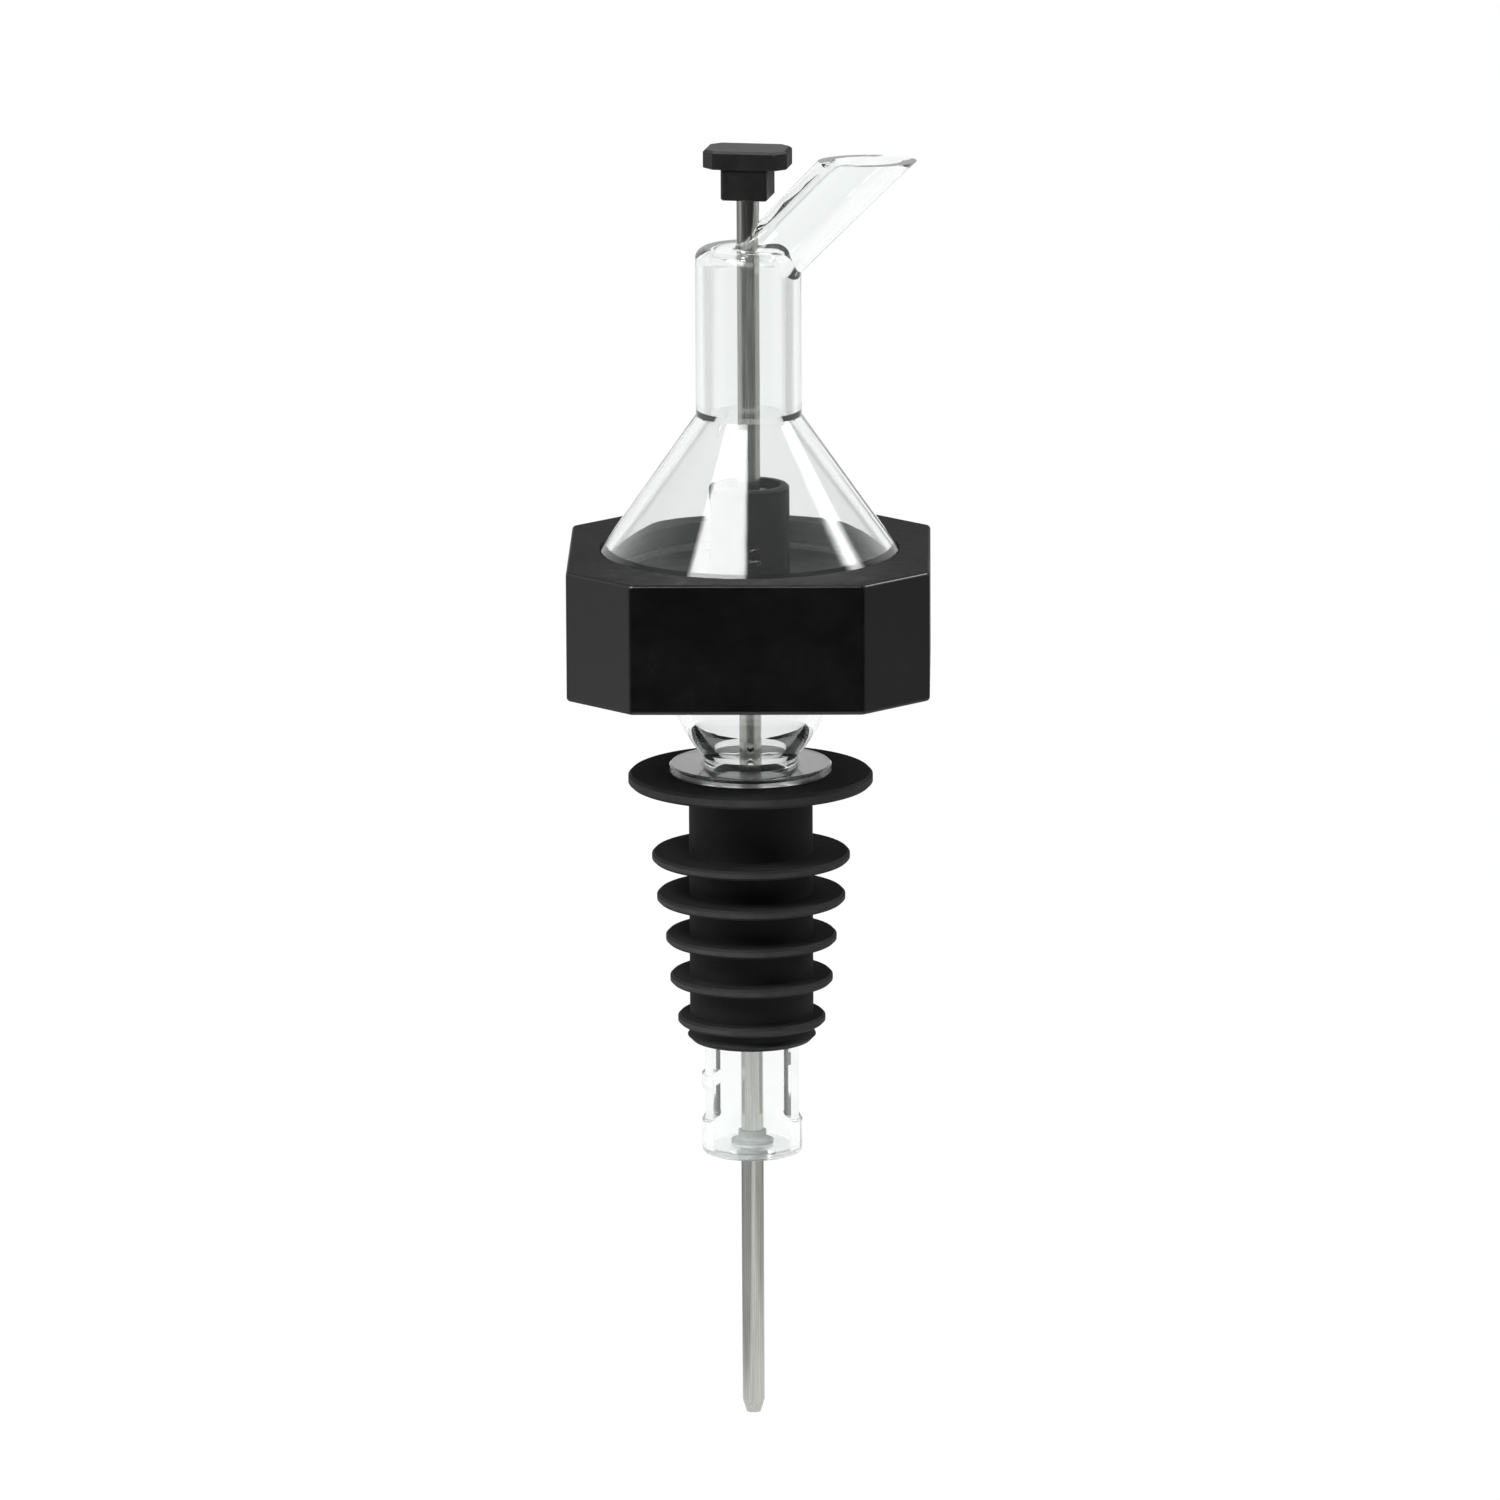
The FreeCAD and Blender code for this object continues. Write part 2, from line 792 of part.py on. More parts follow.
os.makedirs("parts", exist_ok=True)
for name, build in nodes.items():
    build().exportStep(f"parts/{name}.step")
for name, height in clip_heights.items():
    retaining_clip(height).exportStep(f"parts/{name}.step")
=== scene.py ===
"""Looks of the liquor optic dispenser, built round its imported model, in metres."""

import math

import bmesh
import bpy
from mathutils import Matrix, Vector


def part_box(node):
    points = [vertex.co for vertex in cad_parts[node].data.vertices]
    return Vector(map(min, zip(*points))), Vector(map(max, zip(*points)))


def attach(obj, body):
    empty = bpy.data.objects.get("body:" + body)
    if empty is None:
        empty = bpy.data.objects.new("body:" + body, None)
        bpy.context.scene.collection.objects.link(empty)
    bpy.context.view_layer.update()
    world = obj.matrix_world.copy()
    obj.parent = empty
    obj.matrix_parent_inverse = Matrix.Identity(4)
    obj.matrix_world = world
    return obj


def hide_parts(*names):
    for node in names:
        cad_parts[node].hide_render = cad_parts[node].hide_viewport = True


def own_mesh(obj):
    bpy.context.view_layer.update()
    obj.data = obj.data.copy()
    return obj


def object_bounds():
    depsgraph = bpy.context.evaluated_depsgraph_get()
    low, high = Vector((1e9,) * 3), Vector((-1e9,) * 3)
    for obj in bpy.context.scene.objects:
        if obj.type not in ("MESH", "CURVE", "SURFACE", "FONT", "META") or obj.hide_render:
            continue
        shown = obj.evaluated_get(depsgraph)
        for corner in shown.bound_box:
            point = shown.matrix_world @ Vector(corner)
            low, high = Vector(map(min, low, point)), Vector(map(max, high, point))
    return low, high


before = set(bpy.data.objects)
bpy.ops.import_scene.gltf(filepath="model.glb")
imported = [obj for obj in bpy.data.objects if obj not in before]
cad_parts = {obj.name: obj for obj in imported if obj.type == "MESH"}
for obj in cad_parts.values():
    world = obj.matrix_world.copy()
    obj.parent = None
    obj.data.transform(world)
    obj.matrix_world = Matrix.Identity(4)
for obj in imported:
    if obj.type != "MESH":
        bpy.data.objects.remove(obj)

cad_low, cad_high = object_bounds()

# ---------------------------------------------------------------- studio
# A plain white floor just below the rod's tip, in a room that is pale behind and darker in front
# and overhead. A large soft box stands high in front on the left, a narrow one on the right.


def add_node(tree, kind, inputs=None, **settings):
    """New node of a tree; inputs are plain values, or outputs to link to."""
    node = tree.nodes.new(kind)
    for key, value in settings.items():
        setattr(node, key, value)
    for key, value in (inputs or {}).items():
        if isinstance(value, bpy.types.NodeSocket):
            tree.links.new(value, node.inputs[key])
        else:
            node.inputs[key].default_value = value
    return node


def new_material(name):
    """Empty node material; returns it with its tree and its output node."""
    material = bpy.data.materials.new(name)
    material.use_nodes = True
    material.node_tree.nodes.clear()
    output = material.node_tree.nodes.new("ShaderNodeOutputMaterial")
    return material, material.node_tree, output


def combine(tree, how, one, other):
    """Result of one sum on two values."""
    return add_node(tree, "ShaderNodeMath", {0: one, 1: other}, operation=how).outputs[0]


def choose(tree, share, one, other):
    """One value where the share is 0, the other where it is 1."""
    return add_node(tree, "ShaderNodeMix", {"Factor": share, "A": one, "B": other},
                    data_type="FLOAT").outputs["Result"]


def ramp(tree, source, low, high, start=0.0, end=1.0):
    """Value that goes smoothly from start to end while the source goes from low to high."""
    return add_node(tree, "ShaderNodeMapRange",
                    {"Value": source, "From Min": low, "From Max": high,
                     "To Min": start, "To Max": end},
                    interpolation_type="SMOOTHSTEP").outputs["Result"]


def fade(tree, parts, ramps):
    """Product of ramps along the axes, each given as (axis, low, high, start, end)."""
    share = 1.0
    for axis, low, high, start, end in ramps:
        share = combine(tree, "MULTIPLY", share,
                        ramp(tree, parts.outputs[axis], low, high, start, end))
    return share


def clear_rays(tree, path):
    """1 for a ray that clear plastic has let through or mirrored, else 0."""
    return combine(tree, "MAXIMUM", path.outputs["Is Transmission Ray"],
                   path.outputs["Is Singular Ray"])


# The floor is white to the camera. To other rays it goes dark in front and dims at its sides, and
# opaque faces mirror a darker strip on the left and dimmer floor behind, as if screens stood there.
FLOOR_DROP = 0.0022
FLOOR_HALF = 12.0
FLOOR_COLOUR = (0.02, 0.02, 0.02, 1)
FRONT_START, FRONT_END = -0.30, -0.19
FRONT_MIRRORED, FRONT_THROUGH = 0.07, 0.2
SIDES = (("X", -0.5, -0.2, 0.70, 1.0), ("X", 0.2, 0.5, 1.0, 0.6))
MIRRORED_SIDES = (("X", 0.03, 0.10, 1.0, 0.55), ("Y", 0.0, 0.15, 1.0, 0.45))
DARK_STRIP = (("X", -0.25, -0.16, 0.0, 1.0), ("X", -0.010, -0.04, 0.0, 1.0))
STRIP_LIGHT = 0.5

floor_z = cad_low.z - FLOOR_DROP
floor_mesh = bpy.data.meshes.new("studio_floor")
floor_mesh.from_pydata(
    [(x, y, floor_z) for x, y in ((-FLOOR_HALF, -FLOOR_HALF), (FLOOR_HALF, -FLOOR_HALF),
                                  (FLOOR_HALF, FLOOR_HALF), (-FLOOR_HALF, FLOOR_HALF))],
    [], [(0, 1, 2, 3)])
studio_floor = bpy.data.objects.new("studio_floor", floor_mesh)
bpy.context.scene.collection.objects.link(studio_floor)
floor_paint, tree, output = new_material("floor_paint")
place = add_node(tree, "ShaderNodeTexCoord").outputs["Object"]
spot = add_node(tree, "ShaderNodeSeparateXYZ", {"Vector": place})
path = add_node(tree, "ShaderNodeLightPath")
clear_ray = clear_rays(tree, path)
front = choose(tree, clear_ray, FRONT_MIRRORED, FRONT_THROUGH)
light = ramp(tree, spot.outputs["Y"], FRONT_START, FRONT_END, front)
light = combine(tree, "MULTIPLY", light, fade(tree, spot, SIDES))
mirrored = combine(tree, "MULTIPLY", fade(tree, spot, MIRRORED_SIDES),
                   choose(tree, fade(tree, spot, DARK_STRIP), 1.0, STRIP_LIGHT))
light = combine(tree, "MULTIPLY", light, choose(tree, clear_ray, mirrored, 1.0))
light = choose(tree, path.outputs["Is Camera Ray"], light, 1.0)
paint = add_node(tree, "ShaderNodeBsdfPrincipled",
                 {"Base Color": FLOOR_COLOUR, "Specular IOR Level": 0.0,
                  "Emission Color": (1, 1, 1, 1), "Emission Strength": light})
tree.links.new(paint.outputs["BSDF"], output.inputs["Surface"])
floor_mesh.materials.append(floor_paint)
studio_floor.visible_diffuse = False
studio_floor.visible_shadow = False

# The room is white to the camera too. Opaque faces mirror its dim middle and paler walls. Through
# clear plastic it is pale, save overhead in front, and what clear faces mirror is dark overhead.
ROOM_GLOW = 0.07
WALLS = (("Z", 0.2, 0.9, 0.25), ("X", -0.35, -0.95, 0.84), ("X", 0.45, 0.95, 0.50),
         ("Z", -0.02, -0.2, 0.4), ("Y", 0.7, 0.95, 0.14))
PALE_BACK = (("Y", -0.7, 0.7, 0.6, 0.95),)
OVERHEAD = (("Z", 0.35, 0.7, 0.0, 1.0), ("Y", 0.2, -0.4, 0.0, 1.0))
OVERHEAD_LIGHT = 0.15
DARK_CEILING = (("Z", 0.3, 0.6, 1.0, 0.05),)
LIGHT_ON_DULL_FACES = 0.05

world = bpy.data.worlds.new("studio_room")
bpy.context.scene.world = world
world.use_nodes = True
tree = world.node_tree
tree.nodes.clear()
direction = add_node(tree, "ShaderNodeTexCoord").outputs["Generated"]
parts = add_node(tree, "ShaderNodeSeparateXYZ", {"Vector": direction})
glow = ROOM_GLOW
for axis, low, high, strength in WALLS:
    glow = combine(tree, "ADD", glow, ramp(tree, parts.outputs[axis], low, high, 0.0, strength))
through = choose(tree, fade(tree, parts, OVERHEAD), fade(tree, parts, PALE_BACK), OVERHEAD_LIGHT)
glint = combine(tree, "MULTIPLY", through, fade(tree, parts, DARK_CEILING))
path = add_node(tree, "ShaderNodeLightPath")
shade = choose(tree, clear_rays(tree, path), glow,
               choose(tree, path.outputs["Is Transmission Ray"], glint, through))
shade = choose(tree, path.outputs["Is Diffuse Ray"], shade, LIGHT_ON_DULL_FACES)
shade = choose(tree, path.outputs["Is Camera Ray"], shade, 1.0)
room = add_node(tree, "ShaderNodeBackground", {"Color": (1, 1, 1, 1), "Strength": shade})
output = tree.nodes.new("ShaderNodeOutputWorld")
tree.links.new(room.outputs["Background"], output.inputs["Surface"])

LAMP_DISTANCE = 1.5
LAMP_AIM = Vector((0, 0, 0.03))


def soft_box(name, toward, width, height, power, edge):
    """Rectangular lamp in the given direction from the object, facing it.

    Its light dims at both sides, over a share of its width that edge gives.
    """
    lamp = bpy.data.lights.new(name, "AREA")
    lamp.shape = "RECTANGLE"
    lamp.size, lamp.size_y, lamp.energy = width / (1 - edge), height, power / (1 - edge)
    lamp.use_nodes = True
    tree = lamp.node_tree
    surface = add_node(tree, "ShaderNodeNewGeometry").outputs["Parametric"]
    across = add_node(tree, "ShaderNodeSeparateXYZ", {"Vector": surface})
    strength = fade(tree, across, (("X", 0.0, edge, 0.0, 1.0), ("X", 1.0 - edge, 1.0, 1.0, 0.0)))
    tree.links.new(strength, tree.nodes["Emission"].inputs["Strength"])
    holder = bpy.data.objects.new(name, lamp)
    bpy.context.scene.collection.objects.link(holder)
    toward = Vector(toward).normalized()
    holder.matrix_world = (Matrix.Translation(toward * LAMP_DISTANCE + LAMP_AIM)
                           @ toward.to_track_quat("Z", "Y").to_matrix().to_4x4())
    holder.visible_camera = False


soft_box("soft_box_left", toward=(-0.385, -0.52, 0.78), width=0.88, height=0.7, power=25,
         edge=0.12)
soft_box("soft_box_right", toward=(0.772, 0.19, 0.608), width=0.24, height=0.9, power=8,
         edge=0.45)

CAMERA_DISTANCE = 1.7
CAMERA_ELEVATION = math.radians(12.63)
CAMERA_ROLL = math.radians(-0.29)
CAMERA_AIM = Vector((-0.00006, 0, 0.00423))
NEAREST, FARTHEST = 0.05, 60.0
SENSOR_WIDTH = 36.0
PIXELS_PER_METRE = 8000.0
PICTURE_SIDE = 1500

camera = bpy.data.objects.new("camera", bpy.data.cameras.new("camera"))
bpy.context.scene.collection.objects.link(camera)
camera.data.sensor_width = SENSOR_WIDTH
camera.data.lens = PIXELS_PER_METRE * CAMERA_DISTANCE * SENSOR_WIDTH / PICTURE_SIDE
camera.data.clip_start, camera.data.clip_end = NEAREST, FARTHEST
back = Vector((0, -math.cos(CAMERA_ELEVATION), math.sin(CAMERA_ELEVATION)))
upward = Vector((0, math.sin(CAMERA_ELEVATION), math.cos(CAMERA_ELEVATION)))
turned = Matrix((Vector((1, 0, 0)), upward, back)).transposed().to_4x4()
camera.matrix_world = (Matrix.Translation(CAMERA_AIM + back * CAMERA_DISTANCE) @ turned
                       @ Matrix.Rotation(CAMERA_ROLL, 4, "Z"))
bpy.context.scene.camera = camera
bpy.context.scene.view_settings.view_transform = "Standard"

# ---------------------------------------------------------------- stopper
# Bottle plug of soft black rubber, moulded in one piece with its wide flange and five thin fins.
# It has the dull, slightly dusty skin of natural rubber; the upright rims of its fins are paler
# with wear and with a painted highlight.


def make_group(name, inputs, outputs):
    """Shader node group with float inputs (name: value) and float outputs (names)."""
    group = bpy.data.node_groups.new(name, "ShaderNodeTree")
    for key, value in inputs.items():
        socket = group.interface.new_socket(key, in_out="INPUT", socket_type="NodeSocketFloat")
        socket.default_value = value
    for key in outputs:
        group.interface.new_socket(key, in_out="OUTPUT", socket_type="NodeSocketFloat")
    return group, group.nodes.new("NodeGroupInput"), group.nodes.new("NodeGroupOutput")


# moulded skin: fine pits for the bump, cloudy patches and dust specks for colour and roughness
moulded_skin, given, result = make_group(
    "moulded_skin",
    {"Pit Scale": 9000.0, "Cloud Scale": 220.0, "Speck Scale": 2600.0, "Speck Share": 0.12},
    ["Height", "Cloud", "Specks"])
place = add_node(moulded_skin, "ShaderNodeTexCoord").outputs["Object"]
pits = add_node(moulded_skin, "ShaderNodeTexNoise",
                {"Vector": place, "Scale": given.outputs["Pit Scale"], "Detail": 3.0,
                 "Roughness": 0.6})
cloud = add_node(moulded_skin, "ShaderNodeTexNoise",
                 {"Vector": place, "Scale": given.outputs["Cloud Scale"], "Detail": 5.0,
                  "Roughness": 0.62})
specks = add_node(moulded_skin, "ShaderNodeTexVoronoi",
                  {"Vector": place, "Scale": given.outputs["Speck Scale"]})
dots = add_node(moulded_skin, "ShaderNodeMapRange",
                {"Value": specks.outputs["Distance"],
                 "From Min": given.outputs["Speck Share"], "From Max": 0.0,
                 "To Min": 0.0, "To Max": 1.0})
moulded_skin.links.new(pits.outputs["Fac"], result.inputs["Height"])
moulded_skin.links.new(cloud.outputs["Fac"], result.inputs["Cloud"])
moulded_skin.links.new(dots.outputs["Result"], result.inputs["Specks"])

# edge rub: 1 along convex edges, where a rounded normal leaves the true one
edge_rub, given, result = make_group("edge_rub", {"Width": 0.0003, "Strength": 3.0}, ["Edge"])
flat_normal = add_node(edge_rub, "ShaderNodeNewGeometry").outputs["Normal"]
round_normal = add_node(edge_rub, "ShaderNodeBevel", {"Radius": given.outputs["Width"]}, samples=4)
alike = add_node(edge_rub, "ShaderNodeVectorMath",
                 {0: flat_normal, 1: round_normal.outputs["Normal"]}, operation="DOT_PRODUCT")
apart = combine(edge_rub, "SUBTRACT", 1.0, alike.outputs["Value"])
scaled = add_node(edge_rub, "ShaderNodeMath", {0: apart, 1: given.outputs["Strength"]},
                  operation="MULTIPLY", use_clamp=True)
edge_rub.links.new(scaled.outputs[0], result.inputs["Edge"])

# level dust and light: 1 on faces that look up, thinner where the skin's cloud is dark; it marks
# dust that dulls level faces, and on the knob dust and a painted highlight from above
CLOUD_DARK, CLOUD_FULL = 0.2, 0.6
level_dust_and_light, given, result = make_group(
    "level_dust_and_light", {"Cloud": 0.5, "Steep": 0.8, "Flat": 0.98, "Thinnest": 0.6}, ["Dust"])
normal = add_node(level_dust_and_light, "ShaderNodeNewGeometry").outputs["Normal"]
tilt = add_node(level_dust_and_light, "ShaderNodeSeparateXYZ", {"Vector": normal}).outputs["Z"]
flat = ramp(level_dust_and_light, tilt, given.outputs["Steep"], given.outputs["Flat"])
thin = ramp(level_dust_and_light, given.outputs["Cloud"], CLOUD_DARK, CLOUD_FULL,
            given.outputs["Thinnest"], 1.0)
level_dust_and_light.links.new(combine(level_dust_and_light, "MULTIPLY", flat, thin), result.inputs["Dust"])

# distance of a point from the device's axis
off_axis, _, result = make_group("off_axis", {}, ["Distance"])
place = add_node(off_axis, "ShaderNodeTexCoord").outputs["Object"]
level = add_node(off_axis, "ShaderNodeVectorMath", {0: place, 1: (1, 1, 0)}, operation="MULTIPLY")
reach = add_node(off_axis, "ShaderNodeVectorMath", {0: level.outputs["Vector"]},
                 operation="LENGTH")
off_axis.links.new(reach.outputs["Value"], result.inputs["Distance"])

NOISE_LOW, NOISE_HIGH = 0.3, 0.7
CLOUD_SHARE = 0.45
SKIN_SWING = 0.06
PIT_DEPTH = 0.0001
RIM_BLEND = 0.0005
RIM_UPRIGHT, RIM_SLANTED = 0.1, 0.5
RIM_PATCHES = (0.2, 0.7, 0.5, 1.0)


def spread(tree, noise, start=0.0, end=1.0):
    """Value that goes evenly from start to end over the middle of a noise's values."""
    return add_node(tree, "ShaderNodeMapRange",
                    {"Value": noise, "From Min": NOISE_LOW, "From Max": NOISE_HIGH,
                     "To Min": start, "To Max": end}).outputs["Result"]


def mix_colour(tree, share, one, other):
    """One colour where the share is 0, the other where it is 1."""
    return add_node(tree, "ShaderNodeMix", {"Factor": share, "A": one, "B": other},
                    data_type="RGBA").outputs["Result"]


def rim_wear_and_highlight(tree, cloud, reach):
    """Patchy mask of the upright faces that lie further than reach from the device's axis: wear and
    a painted highlight on rims.
    """
    normal = add_node(tree, "ShaderNodeNewGeometry").outputs["Normal"]
    tilt = add_node(tree, "ShaderNodeSeparateXYZ", {"Vector": normal}).outputs["Z"]
    upright = ramp(tree, combine(tree, "MULTIPLY", tilt, tilt), RIM_UPRIGHT, RIM_SLANTED,
                   1.0, 0.0)
    distance = add_node(tree, "ShaderNodeGroup", node_tree=off_axis).outputs["Distance"]
    outside = combine(tree, "MULTIPLY", upright, ramp(tree, distance, reach, reach + RIM_BLEND))
    return combine(tree, "MULTIPLY", outside, ramp(tree, cloud, *RIM_PATCHES))


def opaque_finish(name, dark, pale, roughness, bump, skin, rub, specular=0.5, dust_and_highlight=None, dull=0.0,
                  rim=None, rim_reach=0.0):
    """Moulded surface: cloudy colour between dark and pale, specks, rubbed edges, fine pits.

    Skin and rub are its own values for the two groups. The colour dust_and_highlight lies on its
    level faces, dusty and with a painted highlight from above, and dull is what their dustiness
    adds to their roughness. Rim is the colour of upright faces beyond rim_reach from the axis, worn
    and with a painted highlight.
    """
    material, tree, output = new_material(name)
    surface = add_node(tree, "ShaderNodeGroup", skin, node_tree=moulded_skin)
    edges = add_node(tree, "ShaderNodeGroup", rub, node_tree=edge_rub)
    cloud = surface.outputs["Cloud"]
    wear = combine(tree, "MAXIMUM", surface.outputs["Specks"], edges.outputs["Edge"])
    share = combine(tree, "MAXIMUM", spread(tree, cloud, 0.0, CLOUD_SHARE), wear)
    colour = mix_colour(tree, share, (*dark, 1), (*pale, 1))
    rough = spread(tree, cloud, roughness - SKIN_SWING, roughness + SKIN_SWING)
    if dust_and_highlight or dull:
        level_faces = add_node(tree, "ShaderNodeGroup", {"Cloud": cloud}, node_tree=level_dust_and_light)
    # level faces' colour: dust, and a painted highlight where light falls from above
    if dust_and_highlight:
        colour = mix_colour(tree, level_faces.outputs["Dust"], colour, (*dust_and_highlight, 1))
    if dull:
        rough = combine(tree, "ADD", rough,
                        combine(tree, "MULTIPLY", level_faces.outputs["Dust"], dull))
    # rims: wear and a painted highlight on upright faces far from the axis
    if rim:
        colour = mix_colour(tree, rim_wear_and_highlight(tree, cloud, rim_reach), colour, (*rim, 1))
    relief = add_node(tree, "ShaderNodeBump",
                      {"Height": surface.outputs["Height"], "Strength": bump,
                       "Distance": PIT_DEPTH})
    shader = add_node(tree, "ShaderNodeBsdfPrincipled",
                      {"Base Color": colour, "Roughness": rough, "Specular IOR Level": specular,
                       "Normal": relief.outputs["Normal"]})
    tree.links.new(shader.outputs["BSDF"], output.inputs["Surface"])
    return material


def finish_nodes(material, *nodes):
    """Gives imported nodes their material."""
    for node in nodes:
        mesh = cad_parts[node].data
        mesh.materials.clear()
        mesh.materials.append(material)


FIN_REACH = 0.0078
# the rim colour is wear and a painted highlight on the fins' upright rims
black_rubber = opaque_finish(
    "black_rubber", dark=(0.004, 0.004, 0.004), pale=(0.026, 0.025, 0.025), roughness=0.62,
    bump=0.35, skin={"Pit Scale": 8000.0, "Cloud Scale": 220.0, "Speck Share": 0.12},
    rub={"Width": 0.0003}, specular=0.28, dull=0.3, rim=(0.072, 0.071, 0.071),
    rim_reach=FIN_REACH)
finish_nodes(black_rubber, "bottle_stopper")

# ---------------------------------------------------------------- chamber and tube
# Crystal-clear moulding: the tube through the stopper, the disc that sits on it, and the bowl
# and measuring chamber above. A clear disc with a soft bush closes the tube's end.
MATT = 0.3
MATT_BLEND = 0.0002
WAVE_STRENGTH, WAVE_DEPTH = 0.05, 0.0002
PLASTIC_IOR = 1.49
SHADOW_TINT = (0.93, 0.95, 0.945, 1)

# clear skin: faint mould waves for the bump, and a matt band between two heights
clear_skin, given, result = make_group(
    "clear_skin", {"Wave Scale": 160.0, "Matt Low": 0.0, "Matt High": 0.0}, ["Height", "Matt"])
place = add_node(clear_skin, "ShaderNodeTexCoord").outputs["Object"]
waves = add_node(clear_skin, "ShaderNodeTexNoise",
                 {"Vector": place, "Scale": given.outputs["Wave Scale"], "Detail": 1.0})
height = add_node(clear_skin, "ShaderNodeSeparateXYZ", {"Vector": place}).outputs["Z"]
band_low, band_high = given.outputs["Matt Low"], given.outputs["Matt High"]
below = ramp(clear_skin, height, band_high, combine(clear_skin, "ADD", band_high, MATT_BLEND),
             MATT, 0.0)
above = ramp(clear_skin, height, combine(clear_skin, "SUBTRACT", band_low, MATT_BLEND), band_low)
clear_skin.links.new(waves.outputs["Fac"], result.inputs["Height"])
clear_skin.links.new(combine(clear_skin, "MULTIPLY", below, above), result.inputs["Matt"])


def clear_finish(name, tint, clarity, skin):
    """Clear plastic with a trace of haze; lamps shine through it. Skin is its group's values."""
    material, tree, output = new_material(name)
    surface = add_node(tree, "ShaderNodeGroup", skin, node_tree=clear_skin)
    relief = add_node(tree, "ShaderNodeBump",
                      {"Height": surface.outputs["Height"], "Strength": WAVE_STRENGTH,
                       "Distance": WAVE_DEPTH})
    shader = add_node(tree, "ShaderNodeBsdfPrincipled",
                      {"Base Color": (*tint, 1), "Roughness": surface.outputs["Matt"],
                       "IOR": PLASTIC_IOR, "Transmission Weight": clarity,
                       "Normal": relief.outputs["Normal"]})
    path = add_node(tree, "ShaderNodeLightPath")
    hole = add_node(tree, "ShaderNodeBsdfTransparent", {"Color": SHADOW_TINT})
    either = add_node(tree, "ShaderNodeMixShader", {0: path.outputs["Is Shadow Ray"]})
    tree.links.new(shader.outputs["BSDF"], either.inputs[1])
    tree.links.new(hole.outputs["BSDF"], either.inputs[2])
    tree.links.new(either.outputs["Shader"], output.inputs["Surface"])
    return material


# matt under the disc and down the upper tube, where they touch rubber, and under the end cap
DISC_UNDERSIDE = 0.0016
MATT_TUBE_FOOT = -0.02
CAP_MARGIN = 0.001
CAP_MATT_RISE = 0.0002
cap_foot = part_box("tube_end_cap")[0].z
clear_plastic = clear_finish(
    "clear_plastic", tint=(0.965, 0.98, 0.975), clarity=0.99,
    skin={"Wave Scale": 160.0, "Matt Low": MATT_TUBE_FOOT, "Matt High": DISC_UNDERSIDE})
cap_plastic = clear_finish(
    "cap_plastic", tint=(0.93, 0.945, 0.94), clarity=0.97,
    skin={"Wave Scale": 160.0, "Matt Low": cap_foot - CAP_MARGIN,
          "Matt High": cap_foot + CAP_MATT_RISE})
grey_rubber = opaque_finish(
    "grey_rubber", dark=(0.20, 0.21, 0.205), pale=(0.30, 0.31, 0.305), roughness=0.55, bump=0.2,
    skin={"Cloud Scale": 400.0, "Speck Share": 0.06}, rub={"Width": 0.0002})
finish_nodes(clear_plastic, "chamber_body")
finish_nodes(cap_plastic, "tube_end_cap")
finish_nodes(grey_rubber, "rod_bush")

# ---------------------------------------------------------------- valve cage and seals
# Carrier plate with its ported spring cage, moulded in matt black plastic and laid on the chamber's
# rim between two rubber rings. Two rubber discs on the rod close its seat and the tube's.
cage_plastic = opaque_finish(
    "cage_plastic", dark=(0.0012, 0.0011, 0.0012), pale=(0.0050, 0.0046, 0.0048), roughness=0.5,
    bump=0.1, skin={"Cloud Scale": 300.0, "Speck Share": 0.08}, rub={"Width": 0.0002},
    specular=0.12)
seal_rubber = opaque_finish(
    "seal_rubber", dark=(0.03, 0.03, 0.03), pale=(0.06, 0.06, 0.06), roughness=0.6, bump=0.3,
    skin={"Cloud Scale": 500.0}, rub={"Width": 0.0001})
finish_nodes(cage_plastic, "valve_cage")
finish_nodes(seal_rubber, "chamber_gasket", "funnel_gasket", "outlet_seal", "inlet_seal")

# ---------------------------------------------------------------- rod, washers and clips
# Drawn stainless tube with a swaged tip, dark inside with stain and painted shade. Turned washers
# back its seals, and sprung clips in its grooves hold them and carry the return spring's cap
# washer.
STEEL_SWING = 0.08
LINE_STRENGTH, LINE_DEPTH = 0.12, 0.00005
ROD_SKIN = 0.00137
SKIN_BLEND = 0.0001
# stain and painted shade inside the bore and drilled holes, ending just above the tip
STAIN_AND_SHADE = (0.01, 0.01, 0.01)
DARKENING_START, DARKENING_END = -0.078, -0.077

# drawn lines: noise stretched along the device's axis, or even all ways
drawn_lines, given, result = make_group(
    "drawn_lines", {"Across": 4000.0, "Along": 4000.0}, ["Lines"])
place = add_node(drawn_lines, "ShaderNodeTexCoord").outputs["Object"]
stretch = add_node(drawn_lines, "ShaderNodeCombineXYZ",
                   {"X": given.outputs["Across"], "Y": given.outputs["Across"],
                    "Z": given.outputs["Along"]})
drawn = add_node(drawn_lines, "ShaderNodeVectorMath", {0: place, 1: stretch.outputs["Vector"]},
                 operation="MULTIPLY")
lines = add_node(drawn_lines, "ShaderNodeTexNoise",
                 {"Vector": drawn.outputs["Vector"], "Scale": 1.0, "Detail": 4.0,
                  "Roughness": 0.6})
drawn_lines.links.new(lines.outputs["Fac"], result.inputs["Lines"])


def stained_shaded_bore(tree, skin):
    """Mask of stain and painted shade: what lies nearer to the axis than the metal's outer skin,
    above the rod's tip.
    """
    distance = add_node(tree, "ShaderNodeGroup", node_tree=off_axis).outputs["Distance"]
    place = add_node(tree, "ShaderNodeTexCoord").outputs["Object"]
    height = add_node(tree, "ShaderNodeSeparateXYZ", {"Vector": place}).outputs["Z"]
    return combine(tree, "MULTIPLY", ramp(tree, distance, skin - SKIN_BLEND, skin, 1.0, 0.0),
                   ramp(tree, height, DARKENING_START, DARKENING_END))


